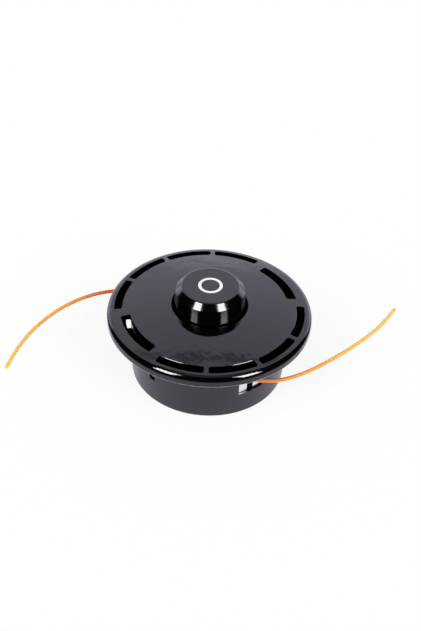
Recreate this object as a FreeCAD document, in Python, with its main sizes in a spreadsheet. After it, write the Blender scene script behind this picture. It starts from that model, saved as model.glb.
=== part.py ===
import FreeCAD, Part
import math
import os

import Sketcher

# Bump feed trimmer head, standing on its housing with the bump knob up.
# Millimetres and degrees. Origin at the centre of the housing's foot, +Z towards the knob,
# the two line exits on the X axis.

doc = FreeCAD.newDocument("trimmer_head")
sheet = doc.addObject("Spreadsheet::Sheet", "Sizes")

DRIVING_SIZES = {
    # cover plate
    "cover_radius": 65.4,
    "crown_top": 51.6,
    "rim_top": 47.2,
    "crown_radius": 640.0,
    "rim_round": 3.4,
    "rim_bottom": 40.2,
    "rim_bottom_round": 0.8,
    "plate_thickness": 3.2,
    "hole_edge_round": 0.35,
    "rim_wall": 4.6,
    "pocket_width": 5.0,
    "pocket_wall": 2.2,
    "pocket_floor": 1.6,
    "pocket_corner": 1.1,
    "pocket_edge_chamfer": 0.3,
    "pocket_angle": 29.4,
    "pocket_pitch": 32.2,
    "pocket_turn": -2.3,
    "vent_gap": 0.5,
    "vent_width": 6.2,
    "vent_angle": 39.0,
    "vent_floor_gap": 0.2,
    "vent_floor_angle": 36.0,
    "vent_floor_turn": 3.5,
    "latch_angle": -77.4,
    "latch_sweep": 9.0,
    "latch_arm": 2.2,
    "latch_gap": 0.45,
    "latch_nose_width": 3.8,
    "latch_nose_reach": 2.2,
    "latch_nose_height": 4.4,
    "latch_window_bottom": 17.9,
    "latch_window_gap": 0.4,
    # housing
    "ring_gap": 3.25,
    "housing_draft": 0.5,
    "housing_wall": 2.6,
    "housing_top": 45.0,
    "foot_width": 3.9,
    "foot_round": 1.8,
    "recess_depth": 3.0,
    "floor_thickness": 3.0,
    "boss_gap": 1.0,
    "boss_top": 20.0,
    "rib_thickness": 2.0,
    "rib_count": 8.0,
    # line exits
    "window_angle": 20.2,
    "window_bottom": 16.6,
    "window_height": 14.4,
    "eyelet_gap": 0.1,
    "eyelet_recess": 1.2,
    "eyelet_flange": 2.2,
    "eyelet_flange_margin": 1.4,
    "eyelet_slot": 4.2,
    "eyelet_slot_top": 26.7,
    "eyelet_mouth_radius": 3.3,
    "eyelet_mouth_depth": 1.4,
    "eyelet_edge_round": 0.4,
    # drive spindle and its fixings
    "hex_width": 19.0,
    "hex_height": 5.0,
    "hex_recess": 0.6,
    "shank_radius": 6.5,
    "shank_gap": 0.05,
    "neck_room": 9.4,
    "neck_top": 43.0,
    "neck_chamfer": 1.0,
    "thread_radius": 4.375,
    "thread_depth": 20.0,
    "thread_chamfer": 0.8,
    "washer_margin": 1.6,
    "washer_thickness": 1.2,
    "circlip_thickness": 1.0,
    "circlip_depth": 0.6,
    "circlip_radius": 8.6,
    "circlip_gap_angle": 40.0,
    "shoulder_height": 0.9,
    # spring
    "spring_mean_radius": 14.4,
    "spring_wire": 1.6,
    "spring_turns": 5.0,
    "spring_clearance": 0.2,
    "seat_thickness": 0.8,
    # spool
    "bump_travel": 7.0,
    "travel_clearance": 0.6,
    "spool_room": 5.25,
    "hub_wall": 2.6,
    "flange_thickness": 2.0,
    "channel_height": 10.65,
    "collar_height": 3.1,
    "web_thickness": 3.0,
    "web_clearance": 7.3,
    "tube_wall": 2.2,
    "tube_length": 10.5,
    "running_gap": 0.06,
    "lug_sweep": 8.0,
    "lug_clearance": 1.2,
    "lug_reach": 3.2,
    "lug_height": 6.4,
    "cam_gap": 0.4,
    "top_lug_clearance": 1.8,
    "top_lug_width": 4.0,
    "top_lug_height": 4.3,
    "top_lug_gap": 0.5,
    "rest_play": 0.5,
    # line
    "line_diameter": 2.4,
    "line_clearance": 0.2,
    "winding_fill": 0.6364,
    "winding_gap": 0.05,
    "winding_turns": 4.0,
    # knob
    "knob_top": 66.4,
    "knob_collar": 1.5,
    "knob_waist_step": 0.9,
    "knob_waist_drop": 0.6,
    "knob_taper": 0.85,
    "knob_bevel_width": 3.9,
    "knob_bevel_height": 3.9,
    "knob_shoulder": 0.9,
    "knob_gap": 0.6,
    "knob_wall": 2.6,
    "knob_edge_round": 0.5,
    "knob_top_round": 1.4,
    "knob_fit": 0.05,
    "screw_gap": 0.27,
    "screw_head_rim": 1.3,
    "screw_head_height": 1.7,
    "screw_length": 14.0,
    "screw_fit": 0.1,
    "post_rim": 0.2,
}
FULL_TURN = 360.0
LUG_COUNT = 4
POCKETS_A_SIDE = 4
SCREW_COUNT = 3
FLANGE_COUNT = 3
OPPOSITE_SIDES = 2
HEX_SIDES = 6
SAME_PLACE = 0.001
NEAR = 0.01
WINDING_SPARE = 0.25
SPRING_POINTS_A_TURN = 8


class Size:
    """A size that carries its value and the sheet formula that gives it."""

    def __init__(self, value, formula):
        self.value = value
        self.formula = formula

    def joined(self, other, sign, value):
        return Size(value, "(" + self.formula + sign + other.formula + ")")

    def __add__(self, other):
        other = as_size(other)
        return self.joined(other, " + ", self.value + other.value)

    def __sub__(self, other):
        other = as_size(other)
        return self.joined(other, " - ", self.value - other.value)

    def __mul__(self, other):
        other = as_size(other)
        return self.joined(other, " * ", self.value * other.value)

    def __truediv__(self, other):
        other = as_size(other)
        return self.joined(other, " / ", self.value / other.value)

    def __neg__(self):
        return as_size(0) - self


def as_size(thing):
    if isinstance(thing, Size):
        return thing
    return Size(float(thing), "(" + repr(float(thing)) + ")")


class SizeTable:
    """The driving sizes by name, each tied to its cell of the sheet."""

    def __init__(self, driving):
        for row, (name, value) in enumerate(driving.items(), start=1):
            sheet.set("A" + str(row), name)
            sheet.set("B" + str(row), str(value))
            sheet.setAlias("B" + str(row), name)
            setattr(self, name, Size(value, "Sizes." + name))


size = SizeTable(DRIVING_SIZES)
doc.recompute()
NOTHING = as_size(0)


def bind(thing, **sizes):
    """Tie properties of an object to the sheet."""
    for name, value in sizes.items():
        thing.setExpression(name, as_size(value).formula)


def stand(thing, height=NOTHING, turn=NOTHING, x=NOTHING, y=NOTHING):
    """Place an object by its height, its turn about Z and its offset in the plane."""
    thing.setExpression("Placement.Base.x", x.formula)
    thing.setExpression("Placement.Base.y", y.formula)
    thing.setExpression("Placement.Base.z", height.formula)
    thing.setExpression("Placement.Rotation.Angle", turn.formula)
    return thing


def disc(name, radius, bottom, top, x=NOTHING):
    """An upright round bar between two heights."""
    bar = doc.addObject("Part::Cylinder", name)
    bind(bar, Radius=radius, Height=top - bottom)
    return stand(bar, bottom, x=x)


def cut(name, base, tools):
    """The base with every tool taken away."""
    tool = tools[0]
    if len(tools) > 1:
        tool = join(name + "_tools", tools)
    result = doc.addObject("Part::Cut", name)
    result.Base = base
    result.Tool = tool
    return result


def join(name, pieces):
    """Several shapes fused into one."""
    result = doc.addObject("Part::MultiFuse", name)
    result.Shapes = pieces
    return result


def ring(name, inner, outer, bottom, top):
    """A plain flat ring."""
    wide = disc(name + "_outside", outer, bottom, top)
    bore = disc(name + "_inside", inner, bottom, top)
    return cut(name, wide, [bore])


def sector(name, inner, outer, bottom, top, middle, sweep):
    """A curved block: part of a ring, centred on one angle."""
    bars = []
    for side, radius in (("outside", outer), ("inside", inner)):
        bar = doc.addObject("Part::Cylinder", name + "_" + side)
        bind(bar, Radius=radius, Height=top - bottom, Angle=sweep)
        bars.append(stand(bar, bottom, middle - sweep / 2))
    return cut(name, bars[0], [bars[1]])


def block(name, length, width, bottom, top, x, y):
    """An upright box with its low corner at x, y."""
    box = doc.addObject("Part::Box", name)
    bind(box, Length=length, Width=width, Height=top - bottom)
    return stand(box, bottom, x=x, y=y)


def turned_copy(name, piece, angle):
    """The same shape again, turned about Z."""
    copy = doc.addObject("Part::Compound", name)
    copy.Links = [piece]
    copy.setExpression("Placement.Rotation.Angle", as_size(angle).formula)
    return copy


def revolved(name, outline, arcs=None):
    """A turned body from (radius, height) points, where arcs gives some runs a radius."""
    arcs = arcs or {}
    body = doc.addObject("PartDesign::Body", name)
    sketch = body.newObject("Sketcher::SketchObject", name + "_outline")
    plane = [item for item in body.Origin.OriginFeatures if item.Role == "XZ_Plane"][0]
    sketch.AttachmentSupport = [(plane, "")]
    sketch.MapMode = "FlatFace"
    points = [(as_size(radius), as_size(height)) for radius, height in outline]
    places = [FreeCAD.Vector(radius.value, height.value, 0) for radius, height in points]
    ends = []
    for index, place in enumerate(places):
        following = places[(index + 1) % len(places)]
        if index in arcs:
            run = sketch.addGeometry(crown_arc(place, following, arcs[index].value), False)
            number = sketch.addConstraint(Sketcher.Constraint("Radius", run, arcs[index].value))
            sketch.setExpression("Constraints[" + str(number) + "]", arcs[index].formula)
            forward = sketch.Geometry[run].StartPoint.isEqual(place, SAME_PLACE)
            ends.append((run, 1, 2) if forward else (run, 2, 1))
        else:
            run = sketch.addGeometry(Part.LineSegment(place, following), False)
            ends.append((run, 1, 2))
    for index, (run, _, finish) in enumerate(ends):
        next_run, next_start, _ = ends[(index + 1) % len(ends)]
        sketch.addConstraint(Sketcher.Constraint("Coincident", run, finish, next_run, next_start))
    for (run, start, _), (radius, height) in zip(ends, points):
        for kind, axis, amount in (("DistanceX", -2, radius), ("DistanceY", -1, height)):
            if amount.value == 0:
                sketch.addConstraint(Sketcher.Constraint("PointOnObject", run, start, axis))
                continue
            fixed = Sketcher.Constraint(kind, -1, 1, run, start, amount.value)
            number = sketch.addConstraint(fixed)
            sketch.setExpression("Constraints[" + str(number) + "]", amount.formula)
    turned = body.newObject("PartDesign::Revolution", name + "_turned")
    turned.Profile = sketch
    turned.ReferenceAxis = (sketch, ["V_Axis"])
    turned.Angle = FULL_TURN
    doc.recompute()
    return body


def crown_arc(start, finish, radius):
    """A shallow arc between two points that bulges away from the axis origin."""
    middle = (start + finish) / 2
    chord = finish - start
    across = FreeCAD.Vector(-chord.y, chord.x, 0).normalize()
    if across.y < 0:
        across = -across
    centre = middle - across * math.sqrt(radius ** 2 - (chord.Length / 2) ** 2)
    angles = sorted(math.atan2(end.y - centre.y, end.x - centre.x) for end in (start, finish))
    return Part.ArcOfCircle(Part.Circle(centre, FreeCAD.Vector(0, 0, 1), radius), *angles)


def rounded_body(body, radius, wanted):
    """Round the edges of a turned body that lie at the wanted (radius, height) places."""
    base = body.Tip
    names = []
    for number, edge in enumerate(base.Shape.Edges, start=1):
        for place_radius, place_height in wanted:
            if circle_lies(edge, place_radius.value, place_height.value):
                names.append("Edge" + str(number))
    feature = body.newObject("PartDesign::Fillet", body.Name + "_round" + str(len(body.Group)))
    feature.Base = (base, names)
    bind(feature, Radius=radius)
    doc.recompute()
    return body


def circle_lies(edge, radius, height):
    """True for a round edge about Z of this radius at this height."""
    if not isinstance(edge.Curve, Part.Circle):
        return False
    near = abs(edge.Curve.Radius - radius) < NEAR
    return near and abs(edge.Curve.Center.z - height) < NEAR


def upright_edges(shape):
    """Numbers of the straight edges that run along Z."""
    numbers = []
    for number, edge in enumerate(shape.Edges, start=1):
        if isinstance(edge.Curve, Part.Line) and abs(abs(edge.Curve.Direction.z) - 1) < NEAR:
            numbers.append(number)
    return numbers


def edge_numbers(shape, wanted):
    """Numbers of the wanted edges in a shape."""
    numbers = []
    for number, edge in enumerate(shape.Edges, start=1):
        if any(edge.isSame(other) for other in wanted):
            numbers.append(number)
    return numbers


def round_edges(name, base, radius, numbers):
    """Round some edges of a shape."""
    result = doc.addObject("Part::Fillet", name)
    result.Base = base
    result.Edges = [(number, radius.value, radius.value) for number in numbers]
    return result


NODES = []


def node(piece, label):
    """Give a finished sub-part its name."""
    piece.Label = label
    NODES.append(piece)
    return piece


ARC_SHARE = 0.45


def tube_path(route):
    """Straight runs joined by arcs as large as the shorter of each two runs allows."""
    points = [FreeCAD.Vector(*place) for place in route]
    edges = []
    radii = []
    begin = points[0]
    for before, corner, after in zip(points, points[1:], points[2:]):
        back = (before - corner).normalize()
        ahead = (after - corner).normalize()
        reach = ARC_SHARE * min(before.distanceToPoint(corner), after.distanceToPoint(corner))
        half_turn = (math.pi - back.getAngle(ahead)) / 2
        radius = reach / math.tan(half_turn)
        radii.append(radius)
        inward = (back + ahead).normalize()
        middle = corner + inward * (radius / math.cos(half_turn) - radius)
        arc_start = corner + back * reach
        arc_end = corner + ahead * reach
        edges.append(Part.LineSegment(begin, arc_start).toShape())
        edges.append(Part.Arc(arc_start, middle, arc_end).toShape())
        begin = arc_end
    edges.append(Part.LineSegment(begin, points[-1]).toShape())
    return Part.Wire(edges), radii


def make_tube(route, radius, label):
    """A round wire or line that follows a route of points."""
    path, radii = tube_path(route)
    start = FreeCAD.Vector(*route[0])
    heading = FreeCAD.Vector(*route[1]) - start
    section = Part.Wire([Part.Circle(start, heading, radius).toShape()])
    tube = doc.addObject("Part::Feature", label + "_tube")
    tube.Shape = path.makePipeShell([section], True, False)
    print(label, "length", round(path.Length, 1), "volume share",
          round(tube.Shape.Volume / (math.pi * radius ** 2 * path.Length), 4),
          "radii", [round(bend, 1) for bend in radii])
    return node(tube, label)


# Heights and radii that several sub-parts share.
floor_top = size.recess_depth + size.floor_thickness
pocket_outer = size.cover_radius - size.rim_wall
pocket_inner = pocket_outer - size.pocket_width
ring_inner = pocket_inner - size.pocket_wall
housing_top_radius = ring_inner - size.ring_gap
housing_radius = housing_top_radius - size.housing_draft
housing_inner = housing_radius - size.housing_wall
spool_radius = housing_inner - size.spool_room
seat_top = floor_top + size.seat_thickness
spool_bottom = floor_top + size.bump_travel + size.travel_clearance
spool_step = size.flange_thickness + size.channel_height
spool_top = spool_bottom + spool_step * (FLANGE_COUNT - 1) + size.flange_thickness
washer_inner = size.spring_mean_radius - size.spring_wire / 2 - size.spring_clearance
washer_outer = size.spring_mean_radius + size.spring_wire / 2 + size.spring_clearance
boss_radius = size.spring_mean_radius - size.spring_wire / 2 - size.boss_gap
lug_inner = size.spring_mean_radius + size.spring_wire / 2 + size.lug_clearance
hub_inner = lug_inner + size.lug_reach
hub_outer = hub_inner + size.hub_wall
neck_radius = size.spring_mean_radius - size.neck_room
neck_bore = neck_radius + size.running_gap
neck_tube = neck_bore + size.tube_wall
screw_head_radius = (washer_inner - neck_tube) / 2 - size.screw_gap
screw_radius = screw_head_radius - size.screw_head_rim
screw_pitch = washer_inner - screw_head_radius
knob_foot_radius = hub_outer + size.knob_collar
circlip_bottom = size.boss_top + size.washer_thickness + size.shank_gap
shank_top = circlip_bottom + size.circlip_thickness + size.shoulder_height
web_bottom = shank_top + size.web_clearance
web_top = web_bottom + size.web_thickness
thrust_bottom = web_bottom - size.seat_thickness
hole_radius = knob_foot_radius + size.knob_gap
top_lug_inner = hole_radius + size.top_lug_clearance
cam_top = spool_bottom - size.travel_clearance
lug_pitch = as_size(FULL_TURN / LUG_COUNT)
# At rest each top lug leans on its cover cam; the housing cams stand half a pitch away.
cover_cam_angle = size.lug_sweep + size.rest_play
housing_cam_angle = cover_cam_angle + lug_pitch / 2
latch_outer = housing_inner - size.latch_gap
latch_inner = latch_outer - size.latch_arm
window_top = size.window_bottom + size.window_height
line_height = size.eyelet_slot_top - size.line_diameter / 2 - size.line_clearance
PAST = size.plate_thickness


def make_housing():
    inner = housing_inner
    foot_inner = housing_radius - size.foot_width
    bore = size.shank_radius + size.shank_gap
    cup = revolved("housing_cup", [
        (bore, NOTHING),
        (boss_radius, NOTHING),
        (boss_radius, size.recess_depth),
        (foot_inner, size.recess_depth),
        (foot_inner, NOTHING),
        (housing_radius, NOTHING),
        (housing_top_radius, size.housing_top),
        (inner, size.housing_top),
        (inner, floor_top),
        (boss_radius, floor_top),
        (boss_radius, size.boss_top),
        (bore, size.boss_top),
    ])
    rounded_body(cup, size.foot_round, [(housing_radius, NOTHING)])
    rib = block("housing_rib", foot_inner - boss_radius + PAST, size.rib_thickness,
                NOTHING, size.recess_depth + size.floor_thickness / 2,
                boss_radius - PAST / 2, -size.rib_thickness / 2)
    pieces = [cup]
    count = int(size.rib_count.value)
    for number in range(count):
        turn = (as_size(number) + 0.5) * FULL_TURN / size.rib_count
        pieces.append(turned_copy("housing_rib_" + str(number), rib, turn))
    cam_outer = hub_inner - size.cam_gap
    for number in range(LUG_COUNT):
        middle = housing_cam_angle + lug_pitch * number
        pieces.append(sector("housing_cam_" + str(number), lug_inner, cam_outer,
                             floor_top - size.floor_thickness / 2, cam_top, middle, size.lug_sweep))
    openings = [hex_bar("hex_pocket", size.hex_width / 2 + size.shank_gap,
                        -PAST, size.hex_recess + size.hex_height)]
    latch_width = size.latch_nose_width + size.latch_window_gap * 2
    latch_top = size.latch_window_bottom + size.latch_nose_height + size.latch_window_gap * 2
    for number in range(OPPOSITE_SIDES):
        half_turn = as_size(number * FULL_TURN / 2)
        openings.append(sector("exit_window_" + str(number), inner - PAST,
                               housing_top_radius + PAST, size.window_bottom, window_top,
                               half_turn, size.window_angle))
        slot = block("latch_window_" + str(number), size.housing_wall * 3, latch_width,
                     size.latch_window_bottom, latch_top,
                     inner - size.housing_wall, -latch_width / 2)
        openings.append(turned_copy("latch_window_turned_" + str(number), slot,
                                    size.latch_angle + half_turn))
    return node(cut("housing_body", join("housing_solid", pieces), openings), "housing")


def hex_bar(name, half_width, bottom, top):
    """A hexagonal bar about Z, by half its width across flats."""
    prism = doc.addObject("Part::Prism", name)
    prism.Polygon = HEX_SIDES
    corner = half_width / math.cos(math.pi / HEX_SIDES)
    bind(prism, Circumradius=corner, Height=top - bottom)
    return stand(prism, bottom)


def make_eyelet(number, label):
    """A steel saddle in the exit window, with a keyway slot that the line leaves by."""
    face = housing_radius - size.eyelet_recess
    back = housing_inner - size.eyelet_gap - size.eyelet_flange
    margin = size.eyelet_flange_margin
    plug_sweep = size.window_angle - size.eyelet_gap * 2 * FULL_TURN / (face * (2 * math.pi))
    flange_sweep = size.window_angle + margin * 2 * FULL_TURN / (face * (2 * math.pi))
    plug = sector(label + "_plug", back, face, size.window_bottom + size.eyelet_gap,
                  window_top - size.eyelet_gap, NOTHING, plug_sweep)
    flange = sector(label + "_flange", back, housing_inner - size.eyelet_gap,
                    size.window_bottom - margin, window_top + margin, NOTHING, flange_sweep)
    round_top = size.eyelet_slot_top - size.eyelet_slot / 2
    slot = block(label + "_slot", size.housing_wall * 4, size.eyelet_slot,
                 size.window_bottom + size.eyelet_gap, round_top,
                 back - size.housing_wall, -size.eyelet_slot / 2)
    bore = doc.addObject("Part::Cylinder", label + "_bore")
    bind(bore, Radius=size.eyelet_slot / 2, Height=size.housing_wall * 4)
    mouth = doc.addObject("Part::Cone", label + "_mouth")
    bind(mouth, Radius1=size.eyelet_slot / 2, Radius2=size.eyelet_mouth_radius,
         Height=size.eyelet_mouth_depth)
    for tool, start in ((bore, back - size.housing_wall), (mouth, face - size.eyelet_mouth_depth)):
        tool.Placement.Rotation = FreeCAD.Rotation(FreeCAD.Vector(0, 1, 0), FULL_TURN / 4)
        tool.setExpression("Placement.Base.x", start.formula)
        tool.setExpression("Placement.Base.z", round_top.formula)
    saddle = cut(label + "_saddle", join(label + "_solid", [plug, flange]), [slot, bore, mouth])
    doc.recompute()
    front = max(saddle.Shape.Faces, key=lambda face: face.CenterOfMass.x)
    outline = edge_numbers(saddle.Shape, front.Edges)
    polished = round_edges(label + "_polished", saddle, size.eyelet_edge_round, outline)
    return node(turned_copy(label + "_placed", polished, number * FULL_TURN / 2), label)


def make_spindle():
    bottom = size.hex_recess
    flange_top = size.hex_recess + size.hex_height
    thread_end = bottom + size.thread_depth
    groove = size.shank_radius - size.circlip_depth
    groove_bottom = circlip_bottom - size.shank_gap
    groove_top = circlip_bottom + size.circlip_thickness + size.shank_gap
    turned = revolved("spindle_turned", [
        (size.thread_radius + size.thread_chamfer, bottom),
        (size.shank_radius, bottom),
        (size.shank_radius, groove_bottom),
        (groove, groove_bottom),
        (groove, groove_top),
        (size.shank_radius, groove_top),
        (size.shank_radius, shank_top),
        (neck_radius, shank_top),
        (neck_radius, size.neck_top - size.neck_chamfer),
        (neck_radius - size.neck_chamfer, size.neck_top),
        (NOTHING, size.neck_top),
        (NOTHING, thread_end + size.thread_radius / 2),
        (size.thread_radius, thread_end),
        (size.thread_radius, bottom + size.thread_chamfer),
    ])
    flange = hex_bar("spindle_hex", size.hex_width / 2, bottom, flange_top)
    opening = disc("spindle_hex_hole", size.shank_radius - size.shank_gap, bottom, flange_top)
    nut = cut("spindle_flange", flange, [opening])
    return node(join("spindle_solid", [turned, nut]), "drive_spindle")


def make_fixings():
    inner = size.shank_radius + size.shank_gap
    washer_top = size.boss_top + size.washer_thickness
    washer = ring("spindle_washer_ring", inner, boss_radius - size.washer_margin,
                  size.boss_top, washer_top)
    node(washer, "spindle_washer")
    sweep = as_size(FULL_TURN) - size.circlip_gap_angle
    clip = sector("circlip_ring", size.shank_radius - size.circlip_depth + size.shank_gap,
                  size.circlip_radius, circlip_bottom, circlip_bottom + size.circlip_thickness,
                  NOTHING, sweep)
    node(clip, "spindle_circlip")


def make_spring():
    seat = ring("spring_seat", washer_inner, washer_outer, floor_top, seat_top)
    node(seat, "spring_seat_washer")
    thrust = ring("thrust_ring", washer_inner, washer_outer, thrust_bottom, web_bottom)
    node(thrust, "thrust_washer")
    wire = sheet.get("spring_wire") / 2
    mean = sheet.get("spring_mean_radius")
    corner = mean / math.cos(math.pi / SPRING_POINTS_A_TURN)
    bottom = seat_top.value + wire
    rise = thrust_bottom.value - wire - bottom
    count = int(sheet.get("spring_turns") * SPRING_POINTS_A_TURN)
    route = []
    for number in range(count + 1):
        angle = 2 * math.pi * number / SPRING_POINTS_A_TURN
        height = bottom + rise * number / count
        reach = mean if number in (0, count) else corner
        route.append((reach * math.cos(angle), reach * math.sin(angle), height))
    make_tube(route, wire, "compression_spring")


def make_spool():
    bore = neck_bore
    tube = neck_tube
    collar_top = spool_top + size.collar_height
    floor = size.flange_thickness
    outline = [(hub_inner, spool_bottom)]
    for number in range(FLANGE_COUNT):
        low = spool_bottom + spool_step * number
        if number:
            outline.append((hub_outer, low))
        outline.append((spool_radius, low))
        outline.append((spool_radius, low + floor))
        outline.append((hub_outer, low + floor))
    outline += [
        (hub_outer, collar_top),
        (hub_inner, collar_top),
        (hub_inner, web_top),
        (tube, web_top),
        (tube, web_bottom + size.tube_length),
        (bore, web_bottom + size.tube_length),
        (bore, web_bottom),
        (hub_inner, web_bottom),
    ]
    pieces = [revolved("spool_turned", outline)]
    for number in range(LUG_COUNT):
        middle = lug_pitch * number
        pieces.append(sector("spool_low_lug_" + str(number), lug_inner,
                             hub_inner + size.hub_wall / 2, spool_bottom,
                             spool_bottom + size.lug_height, middle, size.lug_sweep))
        pieces.append(sector("spool_top_lug_" + str(number), top_lug_inner,
                             top_lug_inner + size.top_lug_width,
                             spool_top - size.flange_thickness / 2,
                             spool_top + size.top_lug_height, middle, size.lug_sweep))
    holes = []
    for number in range(SCREW_COUNT):
        turn = number * FULL_TURN / SCREW_COUNT
        through = disc("screw_hole_" + str(number), screw_radius + size.screw_fit,
                       web_bottom, web_top, x=screw_pitch)
        sink = screw_head("screw_sink_" + str(number), size.screw_fit)
        way = join("screw_cut_" + str(number), [through, sink])
        holes.append(turned_copy("screw_way_" + str(number), way, turn))
    node(cut("spool_body", join("spool_solid", pieces), holes), "spool")
    for number, label in enumerate(("winding_lower", "winding_upper")):
        make_winding(label, spool_bottom + floor + spool_step * number)


def make_winding(label, bottom):
    """The wound line of one channel, scalloped by its outermost turns."""
    wire = size.line_diameter / 2
    pitch = size.channel_height / (size.winding_turns + WINDING_SPARE)
    first = bottom + size.channel_height / 2 - pitch * (size.winding_turns - 1) / 2
    outer = hub_outer + (spool_radius - hub_outer) * size.winding_fill - wire
    pieces = [ring(label + "_core", hub_outer + size.winding_gap, outer,
                   first - wire, first + pitch * (size.winding_turns - 1) + wire)]
    for number in range(int(size.winding_turns.value)):
        turn = doc.addObject("Part::Torus", label + "_turn_" + str(number))
        bind(turn, Radius1=outer, Radius2=wire)
        pieces.append(stand(turn, first + pitch * number))
    node(join(label + "_solid", pieces), label)


def screw_head(name, spare):
    """A countersunk head flush with the underside of the spool's web."""
    head = doc.addObject("Part::Cone", name)
    bind(head, Radius1=screw_head_radius + spare, Radius2=screw_radius + spare,
         Height=size.screw_head_height)
    return stand(head, web_bottom, x=screw_pitch)


def make_knob():
    foot = knob_foot_radius
    waist = size.crown_top - size.knob_waist_drop
    waist_radius = foot - size.knob_waist_step
    bevel_bottom = size.knob_top - size.knob_bevel_height
    bevel_radius = waist_radius - size.knob_taper
    flat_radius = bevel_radius - size.knob_bevel_width
    inside = bevel_radius - size.knob_wall
    collar = hub_outer + size.knob_fit
    collar_top = spool_top + size.collar_height + size.knob_fit
    under_top = size.knob_top - size.knob_wall
    cap = revolved("knob_turned", [
        (collar, spool_top),
        (foot, spool_top),
        (foot, waist - size.knob_shoulder),
        (waist_radius, waist),
        (bevel_radius, bevel_bottom),
        (flat_radius, size.knob_top),
        (NOTHING, size.knob_top),
        (NOTHING, under_top),
        (flat_radius - size.knob_wall / 2, under_top),
        (inside, bevel_bottom - size.knob_wall / 2),
        (collar - size.knob_wall / 2, collar_top + size.knob_wall),
        (collar, collar_top),
    ])
    rounded_body(cap, size.knob_top_round, [(flat_radius, size.knob_top)])
    rounded_body(cap, size.knob_edge_round, [
        (bevel_radius, bevel_bottom),
        (waist_radius, waist),
        (foot, waist - size.knob_shoulder),
    ])
    posts = []
    screws = []
    for number in range(SCREW_COUNT):
        turn = number * FULL_TURN / SCREW_COUNT
        name = str(number)
        post = disc("knob_post_" + name, screw_head_radius + size.post_rim, web_top,
                    under_top + size.knob_wall / 2, x=screw_pitch)
        hole = disc("knob_post_hole_" + name, screw_radius, web_top,
                    web_bottom + size.screw_length + size.screw_fit, x=screw_pitch)
        drilled = cut("knob_post_drilled_" + name, post, [hole])
        posts.append(turned_copy("knob_post_turned_" + name, drilled, turn))
        shank = disc("screw_shank_" + name, screw_radius - size.screw_fit / 2, web_bottom,
                     web_bottom + size.screw_length, x=screw_pitch)
        screw = join("screw_" + name, [shank, screw_head("screw_cone_" + name, NOTHING)])
        screws.append(turned_copy("screw_turned_" + name, screw, turn))
    node(join("knob_solid", [cap] + posts), "bump_knob")
    group = doc.addObject("Part::Compound", "screw_group")
    group.Links = screws
    node(group, "knob_screws")


def make_cover():
    under_hole = size.crown_top - size.plate_thickness
    seat_inner = latch_inner
    under_seat = under_hole - (size.crown_top - size.rim_top) / 2
    plate = revolved("cover_turned", [
        (hole_radius, under_hole),
        (hole_radius, size.crown_top),
        (size.cover_radius, size.rim_top),
        (size.cover_radius, size.rim_bottom),
        (ring_inner, size.rim_bottom),
        (ring_inner, size.housing_top),
        (seat_inner, size.housing_top),
        (seat_inner, under_seat),
    ], arcs={1: size.crown_radius})
    rounded_body(plate, size.rim_round, [(size.cover_radius, size.rim_top)])
    rounded_body(plate, size.rim_bottom_round, [(size.cover_radius, size.rim_bottom)])
    rounded_body(plate, size.hole_edge_round, [(hole_radius, size.crown_top)])
    pieces = [plate]
    for number in range(LUG_COUNT):
        middle = cover_cam_angle + lug_pitch * number
        pieces.append(sector("cover_cam_" + str(number), top_lug_inner,
                             top_lug_inner + size.top_lug_width, spool_top + size.top_lug_gap,
                             under_hole + size.plate_thickness / 4, middle, size.lug_sweep))
    nose_bottom = size.latch_window_bottom + size.latch_window_gap
    for number in range(OPPOSITE_SIDES):
        middle = size.latch_angle + number * FULL_TURN / 2
        pieces.append(sector("latch_arm_" + str(number), latch_inner, latch_outer,
                             nose_bottom - size.latch_nose_height / 2, size.housing_top + PAST / 4,
                             middle, size.latch_sweep))
        nose = block("latch_nose_" + str(number), size.latch_nose_reach + size.latch_arm / 2,
                     size.latch_nose_width, nose_bottom, nose_bottom + size.latch_nose_height,
                     latch_outer - size.latch_arm / 2, -size.latch_nose_width / 2)
        pieces.append(turned_copy("latch_nose_turned_" + str(number), nose, middle))
    cuts = []
    pocket_bottom = size.rim_bottom + size.pocket_floor
    above = size.crown_top + PAST
    vent_inner = housing_top_radius + size.vent_gap
    for side in range(OPPOSITE_SIDES):
        centre = size.pocket_turn + side * FULL_TURN / 2
        pieces.append(sector("vent_floor_" + str(side), housing_top_radius + size.vent_floor_gap,
                             ring_inner + size.pocket_wall / 2, size.rim_bottom, pocket_bottom,
                             centre + FULL_TURN / 4 + size.vent_floor_turn, size.vent_floor_angle))
        for number in range(POCKETS_A_SIDE):
            middle = centre + size.pocket_pitch * (number - (POCKETS_A_SIDE - 1) / 2)
            cuts.append(rounded_slot("pocket_" + str(side) + str(number), pocket_inner,
                                     pocket_outer, pocket_bottom, above, middle,
                                     size.pocket_angle))
        cuts.append(rounded_slot("vent_" + str(side), vent_inner, vent_inner + size.vent_width,
                                 pocket_bottom, above, centre + FULL_TURN / 4,
                                 size.vent_angle))
    return node(cut("cover_body", join("cover_solid", pieces), cuts), "cover_plate")


def crown_height(radius):
    """Height of the crowned top at a radius: the straight fall and the arc's bulge above it."""
    run = radius - hole_radius
    rest = size.cover_radius - radius
    fall = (size.crown_top - size.rim_top) * run / (size.cover_radius - hole_radius)
    return size.crown_top - fall + run * rest / (size.crown_radius * 2)


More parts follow.
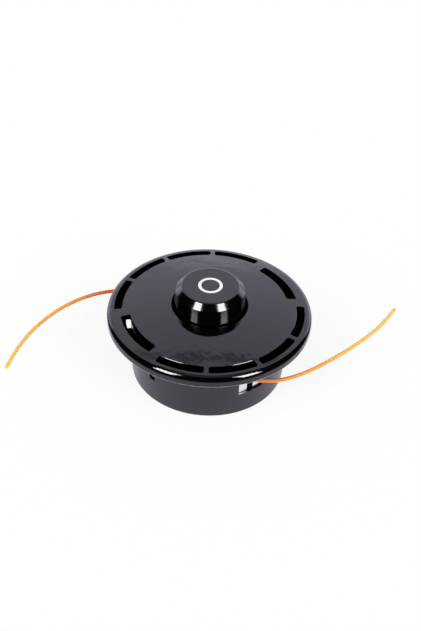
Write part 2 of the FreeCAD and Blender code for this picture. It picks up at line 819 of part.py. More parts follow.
def rounded_slot(name, inner, outer, bottom, top, middle, sweep):
    """A curved slot with rounded corners and a chamfer on its inner edge, as a cutting tool."""
    tool = sector(name, inner, outer, bottom, top, middle, sweep)
    doc.recompute()
    slot = round_edges(name + "_rounded", tool, size.pocket_corner, upright_edges(tool.Shape))
    low = crown_height(inner) - size.pocket_edge_chamfer
    flare = size.pocket_edge_chamfer * 2
    straight = sweep - size.pocket_corner * FULL_TURN / (inner * math.pi)
    wide = doc.addObject("Part::Cylinder", name + "_flare_outside")
    bind(wide, Radius=inner + size.pocket_corner, Height=flare, Angle=straight)
    core = doc.addObject("Part::Cone", name + "_flare_inside")
    bind(core, Radius1=inner, Radius2=inner - flare, Height=flare, Angle=straight)
    for piece in (wide, core):
        stand(piece, low, middle - straight / 2)
    return join(name + "_flared", [slot, cut(name + "_flare", wide, [core])])


# Line tails: hand-chosen route points from inside the eyelet to the cut end, in millimetres:
# out from the housing wall, along the wall, and up from the line's height in the exit.
RIGHT_TAIL = [
    (-4.45, -0.1, 0.0),
    (-1.15, 0.3, 0.0),
    (1.85, 2.7, 0.0),
    (6.25, 9.0, -0.1),
    (9.75, 17.6, -0.2),
    (11.35, 28.4, -0.2),
    (11.45, 41.0, -0.3),
    (9.85, 57.4, -0.3),
    (7.35, 75.0, -0.4),
    (3.45, 92.6, -0.4),
    (-1.65, 108.4, -0.5),
    (-8.45, 122.4, -0.5),
]
LEFT_TAIL = [
    (-4.45, -0.1, 0.0),
    (-1.15, 0.3, 0.0),
    (1.75, 2.7, 0.0),
    (6.45, 8.4, 0.0),
    (13.55, 17.6, 0.0),
    (20.55, 28.6, -0.1),
    (24.65, 41.0, -0.2),
    (25.65, 54.0, -0.3),
    (23.85, 68.2, -0.3),
    (19.25, 82.4, -0.4),
    (12.55, 96.2, -0.4),
    (4.15, 108.6, -0.5),
    (-3.45, 117.4, -0.5),
    (-11.45, 125.4, -0.5),
]


def make_tail(route, side, label):
    """A line tail that leaves the exit on the +X side, or on the -X side turned half round."""
    places = []
    for out, along, rise in route:
        places.append((side * (housing_radius.value + out), side * along, line_height.value + rise))
    return make_tube(places, sheet.get("line_diameter") / 2, label)


make_housing()
make_eyelet(0, "eyelet_right")
make_eyelet(1, "eyelet_left")
make_spindle()
make_fixings()
make_spring()
make_spool()
make_knob()
make_cover()
make_tail(RIGHT_TAIL, 1, "line_tail_right")
make_tail(LEFT_TAIL, -1, "line_tail_left")
doc.recompute()

for thing in doc.Objects:
    if "Invalid" in thing.State or "Error" in thing.State:
        raise RuntimeError("failed: " + thing.Name)
os.makedirs("parts", exist_ok=True)
for piece in NODES:
    if piece.Shape.isNull() or not piece.Shape.isValid():
        raise RuntimeError("bad shape: " + piece.Label)
    print(piece.Label, len(piece.Shape.Solids), round(piece.Shape.Volume, 1), piece.Shape.BoundBox)
for piece in NODES:
    piece.Shape.exportStep("parts/" + piece.Label + ".step")
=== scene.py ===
# %% [markdown]
# # A bump feed trimmer head
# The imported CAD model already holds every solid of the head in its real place, in metres.
# This lesson dresses it: it sets the camera, lays the two line tails, gives each solid
# a finish made of shader nodes, and builds a small photographer's studio round it.

# %% Load the head
import math

import bpy
from mathutils import Matrix, Vector


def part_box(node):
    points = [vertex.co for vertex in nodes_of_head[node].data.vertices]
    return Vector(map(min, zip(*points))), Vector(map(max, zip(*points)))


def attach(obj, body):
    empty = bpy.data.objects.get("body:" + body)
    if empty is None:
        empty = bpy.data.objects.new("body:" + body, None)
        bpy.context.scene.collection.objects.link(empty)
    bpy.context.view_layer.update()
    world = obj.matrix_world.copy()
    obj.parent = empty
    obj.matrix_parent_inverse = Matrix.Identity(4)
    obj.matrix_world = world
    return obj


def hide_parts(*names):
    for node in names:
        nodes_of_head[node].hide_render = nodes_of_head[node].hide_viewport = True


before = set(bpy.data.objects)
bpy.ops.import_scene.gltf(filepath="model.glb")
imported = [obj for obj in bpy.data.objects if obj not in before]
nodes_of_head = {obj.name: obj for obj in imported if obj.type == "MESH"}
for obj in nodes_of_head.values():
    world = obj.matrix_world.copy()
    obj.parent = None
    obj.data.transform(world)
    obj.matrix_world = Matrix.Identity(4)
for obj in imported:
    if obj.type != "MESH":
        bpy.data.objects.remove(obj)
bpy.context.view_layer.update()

MILLIMETRE = 0.001

# %% [markdown]
# ## Directions of the picture
# A catalogue picture of this kind is taken with a fairly long lens from above the table.
# The two line exits lie on the X axis, and the viewer stands off to one side of them, so the
# picture's own right, away and up directions are worked out first. The studio uses them too.

# %% Right, away and up
VIEWER_TURN = math.radians(56)
up = Vector((0, 0, 1))
right = Vector((math.cos(VIEWER_TURN), math.sin(VIEWER_TURN), 0))
towards_viewer = Vector((math.sin(VIEWER_TURN), -math.cos(VIEWER_TURN), 0))
away = -towards_viewer
print("right", [round(x, 3) for x in right], "away", [round(x, 3) for x in away])

# %% [markdown]
# ## The camera
# The camera looks down at a point close to the head's axis, and a slight roll finishes the
# match. The sensor's long side covers the picture's height, so the lens follows from the
# focal length in pixels.

# %% Camera
VIEW_HEIGHT = math.radians(40.06)
VIEW_ROLL = math.radians(2.29)
VIEW_DISTANCE = 700 * MILLIMETRE
LOOK_RIGHT = 0.744 * MILLIMETRE
LOOK_UP = 41.72 * MILLIMETRE
PICTURE_HEIGHT = 631
FOCAL_PIXELS = 1091.1
SENSOR_SIDE = 36

look_at = right * LOOK_RIGHT + up * LOOK_UP
forward = away * math.cos(VIEW_HEIGHT) - up * math.sin(VIEW_HEIGHT)
level_up = right.cross(forward)
picture_right = right * math.cos(VIEW_ROLL) + level_up * math.sin(VIEW_ROLL)
picture_up = picture_right.cross(forward)
turn = Matrix((picture_right, picture_up, -forward)).transposed().to_euler()

bpy.ops.object.select_all(action="DESELECT")
bpy.ops.object.camera_add(location=look_at - forward * VIEW_DISTANCE, rotation=turn)
camera = bpy.context.object
camera.name = "picture_camera"
camera.data.sensor_width = SENSOR_SIDE
camera.data.lens = FOCAL_PIXELS * SENSOR_SIDE / PICTURE_HEIGHT
bpy.context.scene.camera = camera
print("lens", round(camera.data.lens, 2), "mm at", [round(x, 3) for x in camera.location])

# %% [markdown]
# ## Colours
# Colours are easiest to choose as the 0 to 255 values of a screen, but shaders work with
# linear light. This helper turns one into the other, so the numbers below can be read as
# the colours that a person sees. The curve is the sRGB one: a straight foot, then a power.

# %% Screen colour to linear light
SCREEN_WHITE = 255
FOOT_END = 0.04045
FOOT_SLOPE = 12.92
CURVE_SHIFT = 0.055
CURVE_POWER = 2.4


def paint(red, green, blue):
    linear = []
    for channel in (red, green, blue):
        share = channel / SCREEN_WHITE
        if share <= FOOT_END:
            linear.append(share / FOOT_SLOPE)
        else:
            linear.append(((share + CURVE_SHIFT) / (1 + CURVE_SHIFT)) ** CURVE_POWER)
    return (*linear, 1)


print("white", paint(255, 255, 255))

# %% [markdown]
# ## The line tails
# The head feeds two ends of nylon line. Each leaves its steel eyelet, bends back along the
# housing, and keeps the curl that it had on the spool. A NURBS curve with a round bevel is
# the natural tool: a few control points give a smooth, even line of exactly one diameter.
# The points below are in millimetres.

# %% Routes of the tails
RIGHT_ROUTE = [
    (45.4, -0.1, 25.3),
    (48.7, 0.3, 25.3),
    (51.7, 2.7, 25.3),
    (56.1, 9.0, 25.2),
    (59.6, 17.6, 25.1),
    (61.2, 28.4, 25.1),
    (61.3, 41.0, 25.0),
    (59.7, 57.4, 25.0),
    (57.2, 75.0, 24.9),
    (53.3, 92.6, 24.9),
    (48.2, 108.4, 24.8),
    (41.4, 122.4, 24.8),
]
LEFT_ROUTE = [
    (-45.4, 0.1, 25.3),
    (-48.7, -0.3, 25.3),
    (-51.6, -2.7, 25.3),
    (-56.3, -8.4, 25.3),
    (-63.4, -17.6, 25.3),
    (-70.4, -28.6, 25.2),
    (-74.5, -41.0, 25.1),
    (-75.5, -54.0, 25.0),
    (-73.7, -68.2, 25.0),
    (-69.1, -82.4, 24.9),
    (-62.4, -96.2, 24.9),
    (-54.0, -108.6, 24.8),
    (-46.4, -117.4, 24.8),
    (-38.4, -125.4, 24.8),
]
print("route points", len(RIGHT_ROUTE), "and", len(LEFT_ROUTE))

# %% [markdown]
# Order 3 keeps the curve close to its points, and the end points are held. The thickness is
# given as the radius of the points under a bevel of one metre, so that the curve's own box
# hugs the line. Each tail replaces the plain tube of its CAD node and rides on the base.

# %% Lay the tails
LINE_DIAMETER = 2.4 * MILLIMETRE
RIGHT_LENGTH = 131.9 * MILLIMETRE
LEFT_LENGTH = 147.4 * MILLIMETRE
STEPS_ROUND = 5
STEPS_ALONG = 8


def lay_tail(name, route, cad_node, length):
    curve = bpy.data.curves.new(name, "CURVE")
    curve.dimensions = "3D"
    curve.bevel_depth = 1
    curve.bevel_resolution = STEPS_ROUND
    curve.resolution_u = STEPS_ALONG
    curve.use_fill_caps = True
    spline = curve.splines.new("NURBS")
    spline.points.add(len(route) - 1)
    for point, place in zip(spline.points, route):
        point.co = (*(Vector(place) * MILLIMETRE), 1)
        point.radius = LINE_DIAMETER / 2
    spline.order_u = 3
    spline.use_endpoint_u = True
    tail = bpy.data.objects.new(name, curve)
    bpy.context.scene.collection.objects.link(tail)
    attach(tail, "base")
    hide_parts(cad_node)
    print(name, "points", len(route), "length", length)
    return tail


tails = [
    lay_tail("nylon_tail_right", RIGHT_ROUTE, "line_tail_right", RIGHT_LENGTH),
    lay_tail("nylon_tail_left", LEFT_ROUTE, "line_tail_left", LEFT_LENGTH),
]

# %% [markdown]
# ## A bench of finishes
# Every finish here starts from the Principled shader and reads Object coordinates, because
# each solid's mesh lies in the same shared frame. The first helpers make a fresh material,
# a noise that runs between two values, and the two uses of that noise: gloss that varies
# from place to place, and a fine grain. Noise seldom leaves its middle range, so that range
# is stretched.

# %% Helpers for finishes
NOISE_LOW = 0.3
NOISE_HIGH = 0.7


def new_finish(name, colour, metallic=0):
    finish = bpy.data.materials.new(name)
    finish.use_nodes = True
    tree = finish.node_tree
    shader = tree.nodes["Principled BSDF"]
    shader.inputs["Base Color"].default_value = colour
    shader.inputs["Metallic"].default_value = metallic
    place = tree.nodes.new("ShaderNodeTexCoord").outputs["Object"]
    return finish, tree, shader, place


def mottle(tree, place, scale, low, high, detail=4):
    noise = tree.nodes.new("ShaderNodeTexNoise")
    noise.inputs["Scale"].default_value = scale
    noise.inputs["Detail"].default_value = detail
    tree.links.new(place, noise.inputs["Vector"])
    spread = tree.nodes.new("ShaderNodeMapRange")
    spread.inputs["From Min"].default_value = NOISE_LOW
    spread.inputs["From Max"].default_value = NOISE_HIGH
    spread.inputs["To Min"].default_value = low
    spread.inputs["To Max"].default_value = high
    tree.links.new(noise.outputs["Fac"], spread.inputs["Value"])
    return spread.outputs["Result"]


def vary_gloss(tree, shader, place, scale, low, high):
    tree.links.new(mottle(tree, place, scale, low, high), shader.inputs["Roughness"])


def add_bump(tree, shader, height, distance):
    bump = tree.nodes.new("ShaderNodeBump")
    bump.inputs["Strength"].default_value = 1
    bump.inputs["Distance"].default_value = distance
    tree.links.new(height, bump.inputs["Height"])
    for earlier in shader.inputs["Normal"].links:
        tree.links.new(earlier.from_socket, bump.inputs["Normal"])
    tree.links.new(bump.outputs["Normal"], shader.inputs["Normal"])


def add_grain(tree, shader, place, scale, depth, detail=4):
    add_bump(tree, shader, mottle(tree, place, scale, 0, 1, detail), depth)


def dress(finish, *names):
    for name in names:
        for slot in nodes_of_head[name].material_slots:
            slot.material = finish
    print(finish.name, "on", ", ".join(names))


# %% [markdown]
# Some finishes change from place to place: inside a ring, below a face, past a height. These
# helpers do the sums with nodes: a maths node, the distance from the head's axis, a soft step
# between two values, and a blend of two colours.

# %% Helpers for places
def maths(tree, operation, first, second=0.0):
    node = tree.nodes.new("ShaderNodeMath")
    node.operation = operation
    for socket, value in zip(node.inputs, (first, second)):
        if isinstance(value, bpy.types.NodeSocket):
            tree.links.new(value, socket)
        else:
            socket.default_value = value
    return node.outputs["Value"]


def axis_distance(tree, place):
    split = tree.nodes.new("ShaderNodeSeparateXYZ")
    tree.links.new(place, split.inputs["Vector"])
    x, y, z = split.outputs
    squares = maths(tree, "ADD", maths(tree, "MULTIPLY", x, x), maths(tree, "MULTIPLY", y, y))
    return maths(tree, "SQRT", squares), (x, y, z)


def ramp(tree, value, start, finish, low, high):
    spread = tree.nodes.new("ShaderNodeMapRange")
    spread.interpolation_type = "SMOOTHSTEP"
    spread.inputs["From Min"].default_value = start
    spread.inputs["From Max"].default_value = finish
    spread.inputs["To Min"].default_value = low
    spread.inputs["To Max"].default_value = high
    tree.links.new(value, spread.inputs["Value"])
    return spread.outputs["Result"]


def blend_colours(tree, share, first, second):
    mix = tree.nodes.new("ShaderNodeMix")
    mix.data_type = "RGBA"
    for name, colour in (("A", first), ("B", second)):
        if isinstance(colour, bpy.types.NodeSocket):
            tree.links.new(colour, mix.inputs[name])
        else:
            mix.inputs[name].default_value = colour
    tree.links.new(share, mix.inputs["Factor"])
    return mix.outputs["Result"]


# %% [markdown]
# ## Nylon line
# The line is dyed through and slightly cloudy. Its colour also carries painted shade and light:
# it is redder near the head, where the cover shades it, and golden towards its cut end. The
# distance from the head's axis drives the colour. The left tail stays red for longer, so
# each tail has its own row of colours, dye and painted shade together. The line on the spool
# takes the right tail's finish.

# %% Nylon finish
# Orange to gold along each tail: the dye, with painted shade making it redder near the cover.
DYE_SHADE_START = 50 * MILLIMETRE
DYE_SHADE_END = 131 * MILLIMETRE
NYLON_SHINE = 0.12
RIGHT_DYE_AND_SHADE = [
    (0.0, paint(238, 137, 68)),
    (0.3, paint(240, 163, 80)),
    (0.6, paint(239, 186, 88)),
    (1.0, paint(243, 199, 108)),
]
LEFT_DYE_AND_SHADE = [
    (0.25, paint(238, 96, 54)),
    (0.42, paint(237, 122, 62)),
    (0.58, paint(241, 157, 76)),
    (1.0, paint(246, 207, 104)),
]


def nylon_finish(name, dye_and_shade):
    first_shaded_dye = dye_and_shade[0][1]
    nylon, tree, shader, place = new_finish(name, first_shaded_dye)
    shader.inputs["Specular IOR Level"].default_value = NYLON_SHINE
    reach, _ = axis_distance(tree, place)
    share = tree.nodes.new("ShaderNodeMapRange")
    share.inputs["From Min"].default_value = DYE_SHADE_START
    share.inputs["From Max"].default_value = DYE_SHADE_END
    tree.links.new(reach, share.inputs["Value"])
    row = tree.nodes.new("ShaderNodeValToRGB")
    stops = row.color_ramp.elements
    while len(stops) < len(dye_and_shade):
        stops.new(0.5)
    for stop, (position, colour) in zip(stops, dye_and_shade):
        stop.position = position
        stop.color = colour
    tree.links.new(share.outputs["Result"], row.inputs["Fac"])
    tree.links.new(row.outputs["Color"], shader.inputs["Base Color"])
    vary_gloss(tree, shader, place, scale=220, low=0.28, high=0.42)
    add_grain(tree, shader, place, scale=900, depth=0.004 * MILLIMETRE)
    return nylon


nylon_right = nylon_finish("nylon_right", RIGHT_DYE_AND_SHADE)
nylon_left = nylon_finish("nylon_left", LEFT_DYE_AND_SHADE)
for tail, nylon in zip(tails, (nylon_right, nylon_left)):
    tail.data.materials.append(nylon)
dress(nylon_right, "winding_lower", "winding_upper")

# %% [markdown]
# ## Moulded black plastic
# Cover, knob and housing are moulded in glossy black plastic. Almost all of their look is
# reflection, so the base stays nearly black, and the index of refraction and the roughness
# do the work. A moulded plate is never quite flat: a broad, shallow bump makes the
# reflections in the cover wander a little, and a fine one breaks up its gloss.

# %% Cover gloss and waves
BLACK = paint(3, 3, 4)
PLASTIC_INDEX = 1.65
WAVE_DEPTH = 0.07 * MILLIMETRE
PLASTIC_GRAIN = 0.002 * MILLIMETRE
cover_black, tree, shader, place = new_finish("cover_black", BLACK)
shader.inputs["IOR"].default_value = PLASTIC_INDEX
cover_gloss = mottle(tree, place, scale=60, low=0.05, high=0.09)
add_grain(tree, shader, place, scale=80, depth=WAVE_DEPTH, detail=2)
add_grain(tree, shader, place, scale=1500, depth=PLASTIC_GRAIN)
dress(cover_black, "cover_plate")

# %% [markdown]
# ## Painted shade in the pockets
# Down in the cover's pockets the shade is painted: the finish there is rough, and a black base
# with a full metallic value leaves hardly any reflection, so the pockets read as black. A point
# is in a pocket when it lies below the cover's face, which falls almost straight towards the
# rim.

# %% Cover pockets, painted shade
POCKETS_FROM = 50 * MILLIMETRE
POCKETS_TO = 61 * MILLIMETRE
FACE_HEIGHT = 49.16 * MILLIMETRE
FACE_FALL = 0.1245
POCKET_LIP = 0.16 * MILLIMETRE
LIP_FADE = 0.06 * MILLIMETRE
POCKET_ROUGHNESS = 0.75
reach, (_, _, level) = axis_distance(tree, place)
outward = maths(tree, "SUBTRACT", reach, POCKETS_FROM)
face = maths(tree, "SUBTRACT", FACE_HEIGHT, maths(tree, "MULTIPLY", outward, FACE_FALL))
depth = maths(tree, "SUBTRACT", face, level)
below = ramp(tree, depth, POCKET_LIP - LIP_FADE, POCKET_LIP + LIP_FADE, 0, 1)
past_start = maths(tree, "GREATER_THAN", outward, 0)
before_end = maths(tree, "LESS_THAN", reach, POCKETS_TO)
painted_pocket_shade = maths(tree, "MULTIPLY", below, maths(tree, "MULTIPLY", past_start, before_end))
dull = maths(tree, "MULTIPLY", painted_pocket_shade, POCKET_ROUGHNESS)
tree.links.new(maths(tree, "MAXIMUM", cover_gloss, dull), shader.inputs["Roughness"])
# Painted shade: inside the pockets a black, fully metallic base leaves hardly any reflection.
tree.links.new(painted_pocket_shade, shader.inputs["Metallic"])
print("pockets from", POCKETS_FROM, "to", POCKETS_TO)

# %% [markdown]
# ## A painted highlight on the rim's edge
# The rim's lower edge gets a thin pale line, a painted highlight that stands in for the light
# its rounding catches from the table. It is kept to the outermost and lowest part of the rim.

# %% Cover rim edge, painted highlight
RIM_HIGHLIGHT_FROM = 64.6 * MILLIMETRE
RIM_HIGHLIGHT_TOP = 40.9 * MILLIMETRE
RIM_HIGHLIGHT_GREY = paint(150, 149, 153)
outermost = maths(tree, "GREATER_THAN", reach, RIM_HIGHLIGHT_FROM)
lowest = maths(tree, "LESS_THAN", level, RIM_HIGHLIGHT_TOP)
rim_painted_highlight = maths(tree, "MULTIPLY", outermost, lowest)
# Painted highlight: a pale grey band on the rim's outermost, lowest edge.
tree.links.new(blend_colours(tree, rim_painted_highlight, BLACK, RIM_HIGHLIGHT_GREY), shader.inputs["Base Color"])
print("cover nodes", len(tree.nodes))

# %% [markdown]
# ## The knob and its printed ring
# The knob carries a plain white ring printed on its flat top. A print has no thickness
# worth modelling, so it is drawn in the finish: a band of distances from the axis, kept to
# the flat top by its height. Its edge is softened by a tenth of a millimetre. The knob's foot,
# where it goes down into the cover's hole, gets painted shade: a black, fully metallic base
# with hardly any reflection.

# %% Knob finish
RING_INSIDE = 5.85 * MILLIMETRE
RING_OUTSIDE = 7.7 * MILLIMETRE
PRINT_EDGE = 0.1 * MILLIMETRE
PRINT_REACH_DOWN = 1 * MILLIMETRE
PRINT_WHITE = paint(243, 243, 243)
PRINT_ROUGHNESS = 0.3
FOOT_SHADE_TOP = 51.3 * MILLIMETRE
FOOT_SHADE_FADE = 0.2 * MILLIMETRE
knob_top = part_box("bump_knob")[1].z
knob_black, tree, shader, place = new_finish("knob_black", BLACK)
shader.inputs["IOR"].default_value = PLASTIC_INDEX
reach, (_, _, level) = axis_distance(tree, place)
inside = ramp(tree, reach, RING_INSIDE - PRINT_EDGE, RING_INSIDE + PRINT_EDGE, 0, 1)
outside = ramp(tree, reach, RING_OUTSIDE - PRINT_EDGE, RING_OUTSIDE + PRINT_EDGE, 1, 0)
on_top = maths(tree, "GREATER_THAN", level, knob_top - PRINT_REACH_DOWN)
printed = maths(tree, "MULTIPLY", maths(tree, "MULTIPLY", inside, outside), on_top)
tree.links.new(blend_colours(tree, printed, BLACK, PRINT_WHITE), shader.inputs["Base Color"])
knob_gloss = mottle(tree, place, scale=90, low=0.08, high=0.13)
print_dull = maths(tree, "MULTIPLY", printed, PRINT_ROUGHNESS)
tree.links.new(maths(tree, "ADD", knob_gloss, print_dull), shader.inputs["Roughness"])
# Painted shade: below this height the knob's black base turns fully metallic, so its foot shows
# hardly any reflection.
foot_painted_shade = ramp(tree, level, FOOT_SHADE_TOP - FOOT_SHADE_FADE, FOOT_SHADE_TOP + FOOT_SHADE_FADE, 1, 0)
tree.links.new(foot_painted_shade, shader.inputs["Metallic"])
add_grain(tree, shader, place, scale=1500, depth=PLASTIC_GRAIN)
dress(knob_black, "bump_knob")

# %% [markdown]
# ## The housing
# The housing's outside has a finer satin than the knob, with faint upright draw marks from
# the mould. Stretching a noise along Z gives those marks without modelling them.

# %% Housing finish
HOUSING_BLACK = paint(12, 11, 14)
DRAW_STRETCH = 0.08
housing_black, tree, shader, place = new_finish("housing_black", HOUSING_BLACK)
shader.inputs["IOR"].default_value = PLASTIC_INDEX
stretch = tree.nodes.new("ShaderNodeMapping")
stretch.inputs["Scale"].default_value = (1, 1, DRAW_STRETCH)
tree.links.new(place, stretch.inputs["Vector"])
drawn_place = stretch.outputs["Vector"]
vary_gloss(tree, shader, drawn_place, scale=160, low=0.2, high=0.3)
add_grain(tree, shader, drawn_place, scale=700, depth=0.004 * MILLIMETRE)
dress(housing_black, "housing")

# %% [markdown]
# ## Spool plastic
# The spool is unpolished nylon, seen only through the gaps. It is a dull dark grey with a
# coarse mould texture.

# %% Spool finish
spool_grey, tree, shader, place = new_finish("spool_grey", paint(34, 34, 36))
vary_gloss(tree, shader, place, scale=140, low=0.42, high=0.6)
add_grain(tree, shader, place, scale=1200, depth=0.02 * MILLIMETRE)
dress(spool_grey, "spool")

# %% [markdown]
# ## Eyelet steel
# The eyelets are pressed from bright steel and polished by the line that runs over them, so
# their gloss is uneven and their grain is very shallow.

# %% Eyelet finish
eyelet_steel, tree, shader, place = new_finish("eyelet_steel", paint(248, 250, 240), metallic=1)
vary_gloss(tree, shader, place, scale=300, low=0.12, high=0.24)
add_grain(tree, shader, place, scale=1400, depth=0.01 * MILLIMETRE)
dress(eyelet_steel, "eyelet_right", "eyelet_left")

# %% [markdown]
# ## Turned steel
# The spindle is turned, so its bump follows rings about Z, and inside its bore the rings
# become a left-hand thread: the height less a share of the turn gives a helix.

# %% Spindle finish
THREAD_PITCH = 1.25 * MILLIMETRE
THREAD_ROOT = 4.6 * MILLIMETRE
THREAD_HEIGHT = 0.5 * MILLIMETRE
TURNING_PITCH = 0.25 * MILLIMETRE
TURNING_SHARE = 0.02
HALF_WAVE = 0.5
turned_steel, tree, shader, place = new_finish("turned_steel", paint(196, 196, 198), metallic=1)
reach, (x, y, z) = axis_distance(tree, place)
turned = maths(tree, "DIVIDE", maths(tree, "ARCTAN2", y, x), 2 * math.pi)
climbed = maths(tree, "SUBTRACT", maths(tree, "DIVIDE", z, THREAD_PITCH), turned)
in_bore = maths(tree, "LESS_THAN", reach, THREAD_ROOT)
thread = maths(tree, "MULTIPLY", maths(tree, "PINGPONG", climbed, HALF_WAVE), in_bore)
rings = maths(tree, "PINGPONG", maths(tree, "DIVIDE", reach, TURNING_PITCH), HALF_WAVE)
marks = maths(tree, "MULTIPLY", rings, TURNING_SHARE)
add_bump(tree, shader, maths(tree, "ADD", thread, marks), THREAD_HEIGHT)
vary_gloss(tree, shader, place, scale=250, low=0.24, high=0.38)
dress(turned_steel, "drive_spindle")

# %% [markdown]
# ## Zinc-plated steel
# Washers, circlip, spring and screws are bought parts with a plain zinc coat, greyer and
# duller than the eyelets.

# %% Small steel parts
zinc_steel, tree, shader, place = new_finish("zinc_steel", paint(176, 178, 180), metallic=1)
vary_gloss(tree, shader, place, scale=400, low=0.28, high=0.45)
add_grain(tree, shader, place, scale=900, depth=0.01 * MILLIMETRE)
dress(zinc_steel, "spindle_washer", "spindle_circlip", "spring_seat_washer", "thrust_washer",
      "compression_spring", "knob_screws")

# %% [markdown]
# ## How wide the backdrop is
# A sheet of paper runs from under the head to a backdrop behind it. Both are equally wide as
# seen from the head's axis: an angle to either side of the away direction. The same helper
# serves the floor, where it reads a place, and the world, where it reads a direction.

# %% Width of paper and backdrop
BACKDROP_HALF = math.radians(59)
BACKDROP_SIDE_EDGE = math.radians(6)


def part_along(tree, vector, axis):
    dot = tree.nodes.new("ShaderNodeVectorMath")
    dot.operation = "DOT_PRODUCT"
    tree.links.new(vector, dot.inputs[0])
    dot.inputs[1].default_value = axis
    return dot.outputs["Value"]


def in_backdrop_width(tree, vector):
    sideways = part_along(tree, vector, right)
    bearing = maths(tree, "ARCTAN2", sideways, part_along(tree, vector, away))
    return ramp(tree, maths(tree, "ABSOLUTE", bearing), BACKDROP_HALF - BACKDROP_SIDE_EDGE,
                BACKDROP_HALF + BACKDROP_SIDE_EDGE, 1, 0)


print("backdrop", round(2 * math.degrees(BACKDROP_HALF)), "degrees wide")

# %% [markdown]
# ## The floor
# A plain white table top. It is a simple plane, much wider than the picture, so that no edge
# of it shows, and it lies a hair below the head.

# %% Floor
FLOOR_SIZE = 60
FLOOR_DROP = 0.05 * MILLIMETRE
bpy.ops.object.select_all(action="DESELECT")
bpy.ops.mesh.primitive_plane_add(size=FLOOR_SIZE, location=(0, 0, -FLOOR_DROP))
floor = bpy.context.object
floor.name = "table_top"
print("floor", FLOOR_SIZE, "m")

# %% [markdown]
# The camera sees the floor mostly as plain white, with the head's soft shadow kept. In the
# gloss of the plastic only a sheet of evenly lit paper shows: a patch under the head and the
# strip that runs back to the backdrop. Past the sheet the studio floor is dark. The underside
# lets light through, so the head can be looked at from below.

# %% Floor finish
PAPER_NEAR = 95 * MILLIMETRE
PAPER_FAR = 165 * MILLIMETRE
TABLE_WHITE = paint(247, 247, 247)
PLAIN_WHITE = (1, 1, 1, 1)
PAPER_IN_GLOSS = paint(236, 229, 248)
BARE_IN_GLOSS = paint(30, 30, 30)
FLOOR_GLOW = 0.86


def blend_shaders(tree, share, first, second):
    mix = tree.nodes.new("ShaderNodeMixShader")
    tree.links.new(share, mix.inputs["Fac"])
    tree.links.new(first, mix.inputs[1])
    tree.links.new(second, mix.inputs[2])
    return mix.outputs["Shader"]


table_white, tree, shader, place = new_finish("table_white", TABLE_WHITE)
shader.inputs["Specular IOR Level"].default_value = 0
rays = tree.nodes.new("ShaderNodeLightPath").outputs
by_gloss = rays["Is Glossy Ray"]
reach, _ = axis_distance(tree, place)
near_head = ramp(tree, reach, PAPER_NEAR, PAPER_FAR, 1, 0)
paper = maths(tree, "MAXIMUM", near_head, in_backdrop_width(tree, place))
paper_colour = blend_colours(tree, paper, BARE_IN_GLOSS, PAPER_IN_GLOSS)
glow = tree.nodes.new("ShaderNodeEmission")
glow_colour = blend_colours(tree, by_gloss, PLAIN_WHITE, paper_colour)
tree.links.new(glow_colour, glow.inputs["Color"])
by_camera = maths(tree, "MULTIPLY", rays["Is Camera Ray"], FLOOR_GLOW)
glow_share = maths(tree, "MAXIMUM", by_camera, by_gloss)
topside = blend_shaders(tree, glow_share, shader.outputs["BSDF"], glow.outputs["Emission"])
clear = tree.nodes.new("ShaderNodeBsdfTransparent").outputs["BSDF"]
from_below = tree.nodes.new("ShaderNodeNewGeometry").outputs["Backfacing"]
surface = blend_shaders(tree, from_below, topside, clear)
tree.links.new(surface, tree.nodes["Material Output"].inputs["Surface"])
floor.data.materials.append(table_white)
print("floor nodes", len(tree.nodes))

# %% [markdown]
# ## The studio
# Glossy black shows nothing but its surroundings, so the studio is drawn in the world's
# nodes. A world is a picture of directions: how far a direction points along an axis is all
# that its nodes need. Heights are given in degrees above the table.

# %% World helpers
world = bpy.data.worlds.new("studio")
bpy.context.scene.world = world
world.use_nodes = True
sky = world.node_tree
sky.nodes.clear()
direction = sky.nodes.new("ShaderNodeTexCoord").outputs["Generated"]


def along(axis):
    return part_along(sky, direction, axis)


def by_height(value, start, finish, low, high):
    first = math.sin(math.radians(start))
    last = math.sin(math.radians(finish))
    return ramp(sky, value, first, last, low, high)


# %% [markdown]
# ## Two softboxes
# Two tall softboxes stand to the left and right of the camera. A direction meets a box when
# its offset from the box's centre, sideways and upright, stays under the box's half sizes.

# %% Softboxes
SOFTBOX_TURN = math.radians(46)
SOFTBOX_HEIGHT = math.radians(37)
SOFTBOX_HALF_WIDTH = math.radians(10)
SOFTBOX_HALF_HEIGHT = math.radians(17)
SOFTBOX_EDGE = math.radians(1.5)
JUST_AHEAD = 0.001


def softbox(turn, height):
    across = towards_viewer * math.cos(turn) + right * math.sin(turn)
    centre = across * math.cos(height) + up * math.sin(height)
    sideways = up.cross(across)
    upright = centre.cross(sideways)
    ahead = maths(sky, "MAXIMUM", along(centre), JUST_AHEAD)
    shares = []
    for axis, half in ((sideways, SOFTBOX_HALF_WIDTH), (upright, SOFTBOX_HALF_HEIGHT)):
        offset = maths(sky, "ABSOLUTE", maths(sky, "DIVIDE", along(axis), ahead))
        shares.append(ramp(sky, offset, math.tan(half - SOFTBOX_EDGE), math.tan(half), 1, 0))
    return maths(sky, "MULTIPLY", *shares)


left_box = softbox(-SOFTBOX_TURN, SOFTBOX_HEIGHT)
right_box = softbox(SOFTBOX_TURN, SOFTBOX_HEIGHT)
softboxes = maths(sky, "ADD", left_box, right_box)
print("softboxes", round(math.degrees(SOFTBOX_TURN)), "degrees to either side")

# %% [markdown]
# ## What the gloss sees
# Gloss sees a pale backdrop behind the head, brightest near the table, then a narrow dark gap
# that bows down at its sides, a panel above the gap, a dim ceiling, and a dark room on the
# camera's side. Each layer scales the backdrop at some height. The softboxes are added last.

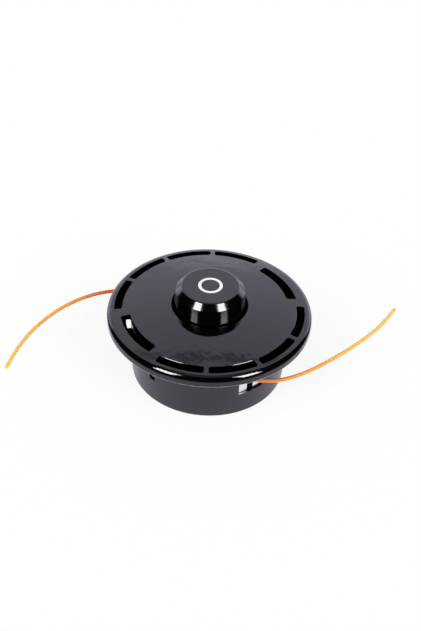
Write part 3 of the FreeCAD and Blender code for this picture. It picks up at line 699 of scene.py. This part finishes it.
# %% Backdrop and ceiling
ROOM_LEVEL = 0.006
BRIGHT_UNDER = 22
BRIGHT_OVER = 28
BRIGHT_GAIN = 1.55
FADE_FROM = 28
FADE_TO = 60
FADE_START = 1.03
FADE_END = 0.8
GAP_HEIGHT = 55.3
GAP_HALF = 0.9
GAP_BOW = 1.1
PANEL_TOP = 66
PANEL_EDGE = 2
CEILING_FROM = 68
CEILING_TO = 80
CEILING_LEVEL = 0.3
SOFTBOX_GLOSS = 15.5

height = along(up)
aside = along(right)
bow = maths(sky, "MULTIPLY", maths(sky, "MULTIPLY", aside, aside), GAP_BOW)
bowed = maths(sky, "ADD", height, bow)
gap_starts = by_height(bowed, GAP_HEIGHT - GAP_HALF, GAP_HEIGHT, 1, 0)
gap_ends = by_height(bowed, GAP_HEIGHT, GAP_HEIGHT + GAP_HALF, 0, 1)
backdrop = in_backdrop_width(sky, direction)
for layer in (
    by_height(height, BRIGHT_UNDER, BRIGHT_OVER, BRIGHT_GAIN, 1),
    by_height(height, FADE_FROM, FADE_TO, FADE_START, FADE_END),
    maths(sky, "MAXIMUM", gap_starts, gap_ends),
    by_height(height, PANEL_TOP - PANEL_EDGE, PANEL_TOP + PANEL_EDGE, 1, 0),
):
    backdrop = maths(sky, "MULTIPLY", backdrop, layer)
ceiling = by_height(height, CEILING_FROM, CEILING_TO, ROOM_LEVEL, CEILING_LEVEL)
boxes_in_gloss = maths(sky, "MULTIPLY", softboxes, SOFTBOX_GLOSS)
in_gloss = maths(sky, "ADD", maths(sky, "ADD", backdrop, boxes_in_gloss), ceiling)
print("gap at", GAP_HEIGHT, "degrees, ceiling from", CEILING_FROM)

# %% [markdown]
# ## What lights the head, and what the camera sees
# Everything that isn't a reflection is lit by the same softboxes at a plain level and by an
# even fill, and the camera itself sees plain white. The Light Path node tells the three
# apart. Only the backdrop is tinted, and the softboxes stay white.

# %% Light and background
SOFTBOX_LEVEL = 8.4
FILL_LEVEL = 0.5
WHITE_LEVEL = 1.0
BACKDROP_TINT = (1.0, 0.97, 1.16, 1)


def choose(when, chosen, otherwise):
    mix = sky.nodes.new("ShaderNodeMix")
    sky.links.new(when, mix.inputs["Factor"])
    sky.links.new(otherwise, mix.inputs["A"])
    if isinstance(chosen, bpy.types.NodeSocket):
        sky.links.new(chosen, mix.inputs["B"])
    else:
        mix.inputs["B"].default_value = chosen
    return mix.outputs["Result"]


lighting = maths(sky, "ADD", maths(sky, "MULTIPLY", softboxes, SOFTBOX_LEVEL), FILL_LEVEL)
rays = sky.nodes.new("ShaderNodeLightPath").outputs
mirrored = maths(sky, "MAXIMUM", rays["Is Glossy Ray"], rays["Is Transmission Ray"])
strength = choose(mirrored, in_gloss, lighting)
strength = choose(rays["Is Camera Ray"], WHITE_LEVEL, strength)
tinted = maths(sky, "MULTIPLY", mirrored, maths(sky, "SUBTRACT", 1, softboxes))
background = sky.nodes.new("ShaderNodeBackground")
background_colour = blend_colours(sky, tinted, PLAIN_WHITE, BACKDROP_TINT)
sky.links.new(background_colour, background.inputs["Color"])
sky.links.new(strength, background.inputs["Strength"])
output = sky.nodes.new("ShaderNodeOutputWorld")
sky.links.new(background.outputs["Background"], output.inputs["Surface"])
print("studio nodes", len(sky.nodes))

# %% [markdown]
# ## Plain picture settings
# The Standard view shows colours as they are written.

# %% View
bpy.context.scene.view_settings.view_transform = "Standard"
bpy.context.view_layer.update()
